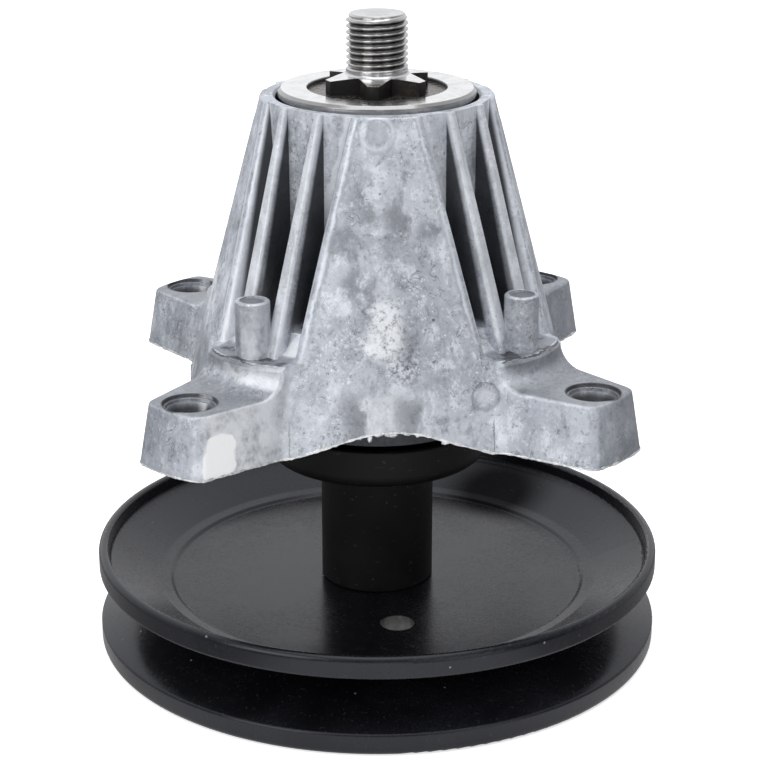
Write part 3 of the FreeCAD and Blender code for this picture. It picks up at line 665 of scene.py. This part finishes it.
def shaded_smooth(mesh_data, angle_deg):
    """Smooth shading with creases kept where faces meet at more than an angle."""
    mesh_data.polygons.foreach_set("use_smooth", [True] * len(mesh_data.polygons))
    mesh_data.set_sharp_from_angle(angle=math.radians(angle_deg))


def ring_points(shape, centre, radius, around):
    """New points on a level circle."""
    points = []
    for step in range(around):
        angle = 2.0 * math.pi * step / around
        offset = Vector((math.cos(angle) * radius, math.sin(angle) * radius, 0))
        points.append(shape.verts.new(centre + offset))
    return points


def thread_profile(phase):
    """Height of a thread flank from 0 at the root to 1 at the crest, over one pitch."""
    rise = 1.0 - abs(2.0 * (phase % 1.0) - 1.0)
    return min(1.0, max(0.0, (rise - thread_root_share) / thread_flank_share))


def thread_mesh():
    """Helical thread with a chamfered end and a centre dimple, as one grid round the axis."""
    around = 128
    rows = 176
    shape = bmesh.new()
    grid = []
    for row in range(rows + 1):
        z = thread_start_z + (shaft_top_z - thread_start_z) * row / rows
        ring = []
        for step in range(around):
            turn = step / around
            height = thread_profile(z / thread_pitch - turn)
            fade = min(1.0, (z - thread_start_z) / thread_run_out)
            radius = thread_radius - 0.03 * MM - thread_depth * fade * (1.0 - height)
            to_top = shaft_top_z - z
            chamfer = thread_end_radius + (thread_radius - thread_end_radius) * to_top / thread_chamfer
            radius = min(radius, chamfer)
            angle = 2.0 * math.pi * turn
            ring.append(shape.verts.new((radius * math.cos(angle), radius * math.sin(angle), z)))
        grid.append(ring)
    for share in (1.0, 0.5):
        centre = Vector((0, 0, shaft_top_z - dimple_depth * (1.0 - share)))
        grid.append(ring_points(shape, centre, dimple_radius * share, around))
    for lower, upper in zip(grid, grid[1:]):
        for step in range(around):
            after = (step + 1) % around
            shape.faces.new((lower[step], lower[after], upper[after], upper[step]))
    tip = shape.verts.new((0, 0, shaft_top_z - dimple_depth))
    for step in range(around):
        shape.faces.new((grid[-1][step], grid[-1][(step + 1) % around], tip))
    mesh_data = bpy.data.meshes.new("blade_thread")
    shape.to_mesh(mesh_data)
    shape.free()
    shaded_smooth(mesh_data, 25)
    return mesh_data


def shaft_mesh():
    """The shaft's own mesh with the plain end cut away where the thread takes over."""
    shape = bmesh.new()
    shape.from_mesh(nodes["spindle_shaft"].data)
    bmesh.ops.remove_doubles(shape, verts=shape.verts, dist=1e-6)
    bmesh.ops.bisect_plane(shape, geom=shape.verts[:] + shape.edges[:] + shape.faces[:], dist=1e-7,
                           plane_co=(0, 0, thread_start_z + 0.03 * MM), plane_no=(0, 0, 1), clear_outer=True)
    shape.verts.index_update()
    mesh_data = bpy.data.meshes.new("spindle_body")
    mesh_data.from_pydata([vert.co for vert in shape.verts], [],
                          [[vert.index for vert in face.verts] for face in shape.faces])
    shape.free()
    shaded_smooth(mesh_data, 28)
    return mesh_data


def lower_rim_paths():
    """Chains of points with outward directions along the casting's lower outer edge, arches included."""
    shape = bmesh.new()
    shape.from_mesh(nodes["housing"].data)
    bmesh.ops.remove_doubles(shape, verts=shape.verts, dist=1e-6)
    shape.verts.index_update()
    shape.verts.ensure_lookup_table()
    links = {}
    outward_at = {}
    for edge in shape.edges:
        if len(edge.link_faces) != 2:
            continue
        middle = (edge.verts[0].co + edge.verts[1].co) / 2
        hole_gap = math.hypot(abs(middle.x) - foot_hole_half, abs(middle.y) - foot_hole_half)
        inside = math.hypot(middle.x, middle.y) < rim_inner_radius
        if middle.z > rim_top_z or inside or hole_gap < hole_surround_radius:
            continue
        outward = Vector((middle.x, middle.y, 0)).normalized()
        under, side = sorted((face.normal for face in edge.link_faces), key=lambda normal: normal.z)
        if under.z < -0.6 and side.z > -0.35 and side.dot(outward) > 0.2:
            ends = [vert.index for vert in edge.verts]
            for here, there in (ends, ends[::-1]):
                links.setdefault(here, []).append(there)
                outward_at.setdefault(here, Vector()).xy += Vector((side.x, side.y)).normalized()
    points = {index: shape.verts[index].co.copy() for index in links}
    shape.free()
    paths = []
    waiting = set(links)
    while waiting:
        ends = [index for index in waiting if len(links[index]) == 1]
        index = min(ends) if ends else min(waiting)
        path = []
        while index is not None:
            waiting.discard(index)
            path.append((points[index], outward_at[index].normalized()))
            index = next((other for other in links[index] if other in waiting), None)
        if len(path) > 2:
            paths.append(path)
    return paths


def resampled(path, step):
    """The same path with a point at every step of its length."""
    result = []
    for (start, out_start), (end, out_end) in zip(path, path[1:]):
        count = max(1, int((end - start).length / step))
        for index in range(count):
            share = index / count
            result.append((start.lerp(end, share), out_start.lerp(out_end, share).normalized()))
    return result


def flash_mesh(paths):
    """Ragged ridge of torn metal along each path."""
    shape = bmesh.new()
    for path in paths:
        rings = []
        for point, outward in resampled(path, flash_step):
            ragged = noise.noise(point * 1400.0) * 0.6 + noise.noise(point * 420.0) * 0.6
            size = max(0.12, 0.42 + 0.55 * ragged) * MM
            up = Vector((0, 0, 1))
            rings.append([shape.verts.new(point + outward * out_share * size + up * up_share * size)
                          for out_share, up_share in flash_section])
        for first, second in zip(rings, rings[1:]):
            for index in range(len(first) - 1):
                shape.faces.new((first[index], first[index + 1], second[index + 1], second[index]))
    bmesh.ops.recalc_face_normals(shape, faces=shape.faces)
    mesh_data = bpy.data.meshes.new("edge_flash")
    shape.to_mesh(mesh_data)
    shape.free()
    return mesh_data


def chip_mesh(name, chips):
    """Small torn lumps, each at a point with its half sizes."""
    shape = bmesh.new()
    for centre, spread in chips:
        lump = bmesh.ops.create_icosphere(shape, subdivisions=3, radius=1.0)["verts"]
        for vert in lump:
            swell = 1.0 + 0.5 * noise.noise(vert.co * 2.1 + centre * 900.0)
            vert.co = centre + Vector(share * half for share, half in zip(vert.co * swell, spread))
    mesh_data = bpy.data.meshes.new(name)
    shape.to_mesh(mesh_data)
    shape.free()
    shaded_smooth(mesh_data, 60)
    return mesh_data


def weep_mesh():
    """Thin sleeve on the wall of the hole through the pulley's web."""
    shape = bmesh.new()
    around = 48
    centre = Vector((math.cos(weep_turn), math.sin(weep_turn), 0)) * weep_distance
    rings = []
    for z in (weep_bottom_z, weep_top_z):
        rings.append(ring_points(shape, centre + Vector((0, 0, z)), weep_radius, around))
    for step in range(around):
        after = (step + 1) % around
        shape.faces.new((rings[0][after], rings[0][step], rings[1][step], rings[1][after]))
    mesh_data = bpy.data.meshes.new("weep_edge")
    shape.to_mesh(mesh_data)
    shape.free()
    shaded_smooth(mesh_data, 40)
    return mesh_data


# Materials, one on each CAD node
aluminium = cast_aluminium()
flash = flash_aluminium()
steel = turned_steel()
paint = black_paint()
oxide = black_oxide()
ring_steel = plain_steel("ring_steel", (0.60, 0.60, 0.61, 1), (0.70, 0.70, 0.71, 1), 0.22, 0.008)
cage_steel = plain_steel("cage_steel", (0.42, 0.42, 0.43, 1), (0.56, 0.56, 0.55, 1), 0.38, 0.006)
zinc = plain_steel("zinc_plate", (0.50, 0.50, 0.47, 1), (0.66, 0.65, 0.60, 1), 0.34, 0.005)
rubber = seal_rubber()
finishes = {
    "cast_aluminium": aluminium, "bright_steel": steel, "bearing_steel": ring_steel,
    "cage_steel": cage_steel, "seal_rubber": rubber, "black_oxide": oxide, "black_paint": paint,
    "plated_steel": zinc}
for subpart in frame["record"]["subparts"]:
    mesh_data = nodes[subpart["node"]].data
    mesh_data.materials.clear()
    mesh_data.materials.append(finishes[subpart["material_slot"]])

# Shaft with its thread
shaft = mesh_piece("spindle_body", shaft_mesh(), steel, "rotor")
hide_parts("spindle_shaft")
mesh_piece("blade_thread", thread_mesh(), steel, "rotor")

# Flash along the casting's lower edges and torn lumps that hang from the front arch
rim_paths = lower_rim_paths()
mesh_piece("edge_flash", flash_mesh(rim_paths), flash, "housing")
arch_edge = [point for path in rim_paths for point, outward in resampled(path, arch_step)
             if point.y < arch_front_y and abs(point.x) < arch_half_width]
arch_chips = []
for chip_x, half_width, half_height in chip_sizes:
    edge_point = min(arch_edge, key=lambda point: abs(point.x - chip_x * MM))
    centre = edge_point + Vector((0, 0.3, -0.6 * half_height)) * MM
    arch_chips.append((centre, (half_width * MM, chip_half_depth, half_height * MM)))
mesh_piece("arch_chips", chip_mesh("arch_chips", arch_chips), flash, "housing")

# Bare edge of the sheet inside the weep hole
bare_edge = plain_steel("bare_edge", (0.16, 0.16, 0.155, 1), (0.26, 0.26, 0.25, 1), 0.45, 0.003)
mesh_piece("weep_edge", weep_mesh(), bare_edge, "rotor")

# Floor, white to the camera and dimmer in reflections of its back and sides
floor_mesh = bpy.data.meshes.new("floor")
shape = bmesh.new()
bmesh.ops.create_grid(shape, x_segments=1, y_segments=1, size=floor_half)
shape.to_mesh(floor_mesh)
shape.free()
floor = bpy.data.objects.new("floor", floor_mesh)
floor.location.z = cad_low.z - floor_gap
bpy.context.scene.collection.objects.link(floor)
floor_material, tree, shader = new_material("pale_floor")
shader.inputs["Roughness"].default_value = 0.9
shader.inputs["Specular IOR Level"].default_value = 0.0
light_path = tree.nodes.new("ShaderNodeLightPath")
shader.inputs["Emission Color"].default_value = (1, 1, 1, 1)
floor_x, floor_y = parts_of(tree, place(tree))[:2]
behind = sums(tree, "MAXIMUM", between(tree, floor_y, dim_from_y, dim_full_y),
              between(tree, sums(tree, "ABSOLUTE", floor_x), dim_from_x, dim_full_x))
glossy = sums(tree, "MULTIPLY", light_path.outputs["Is Glossy Ray"], sums(tree, "SUBTRACT", 0.75, behind))
seen = sums(tree, "MAXIMUM", light_path.outputs["Is Camera Ray"], glossy)
dim = sums(tree, "MULTIPLY", light_path.outputs["Is Glossy Ray"], behind)
feed(tree, shader.inputs["Base Color"], blend(tree, dim, (0.86, 0.86, 0.86, 1), (0.34, 0.34, 0.35, 1)))
feed(tree, shader.inputs["Emission Strength"], sums(tree, "MULTIPLY", seen, 0.62))
floor_mesh.materials.append(floor_material)

# Studio: a white wall behind, paler above and to the left, darker at both ends and behind the camera
world = bpy.data.worlds.new("studio")
bpy.context.scene.world = world
world.use_nodes = True
tree = world.node_tree
toward_x, toward_y, toward_z = parts_of(tree, tree.nodes.new("ShaderNodeTexCoord").outputs["Generated"])
level = between(tree, toward_y, -0.6, 0.6, 0.42, 1.05)
level = sums(tree, "ADD", level, between(tree, toward_z, 0.2, 1.0, 0.0, 0.15),
             between(tree, toward_x, 0.9, -0.9, -0.10, 0.04),
             between(tree, sums(tree, "ABSOLUTE", toward_x), 0.45, 0.95, 0.0, -0.25))
background = tree.nodes["Background"]
background.inputs["Color"].default_value = (0.97, 0.98, 1.0, 1)
feed(tree, background.inputs["Strength"], level)


def soft_light(name, location, target, size, power):
    light_data = bpy.data.lights.new(name, "AREA")
    light_data.shape = "RECTANGLE"
    light_data.size, light_data.size_y = size
    light_data.energy = power
    light = bpy.data.objects.new(name, light_data)
    light.location = location
    light.rotation_euler = (Vector(target) - Vector(location)).to_track_quat("-Z", "Y").to_euler()
    bpy.context.scene.collection.objects.link(light)


# Soft boxes at the left, at the right and above
light_target = (0, 0, 0.08)
soft_light("left_box", (-0.8, -0.75, 0.6), light_target, (0.7, 0.9), 4.7)
soft_light("right_box", (0.7, -0.85, 0.5), light_target, (0.6, 0.9), 1.6)
soft_light("top_box", (0.05, -0.15, 1.2), light_target, (0.9, 0.9), 3.5)

# Camera
camera_data = bpy.data.cameras.new("photo_camera")
camera_data.lens = camera_lens
camera_data.sensor_width = 36.0
camera_data.shift_x = camera_shift
camera_data.clip_start = 0.01
camera = bpy.data.objects.new("photo_camera", camera_data)
camera.location = camera_place
camera.rotation_euler = (math.radians(camera_tilt_deg), 0, math.radians(camera_turn_deg))
bpy.context.scene.collection.objects.link(camera)
bpy.context.scene.camera = camera
bpy.context.scene.view_settings.view_transform = "Standard"
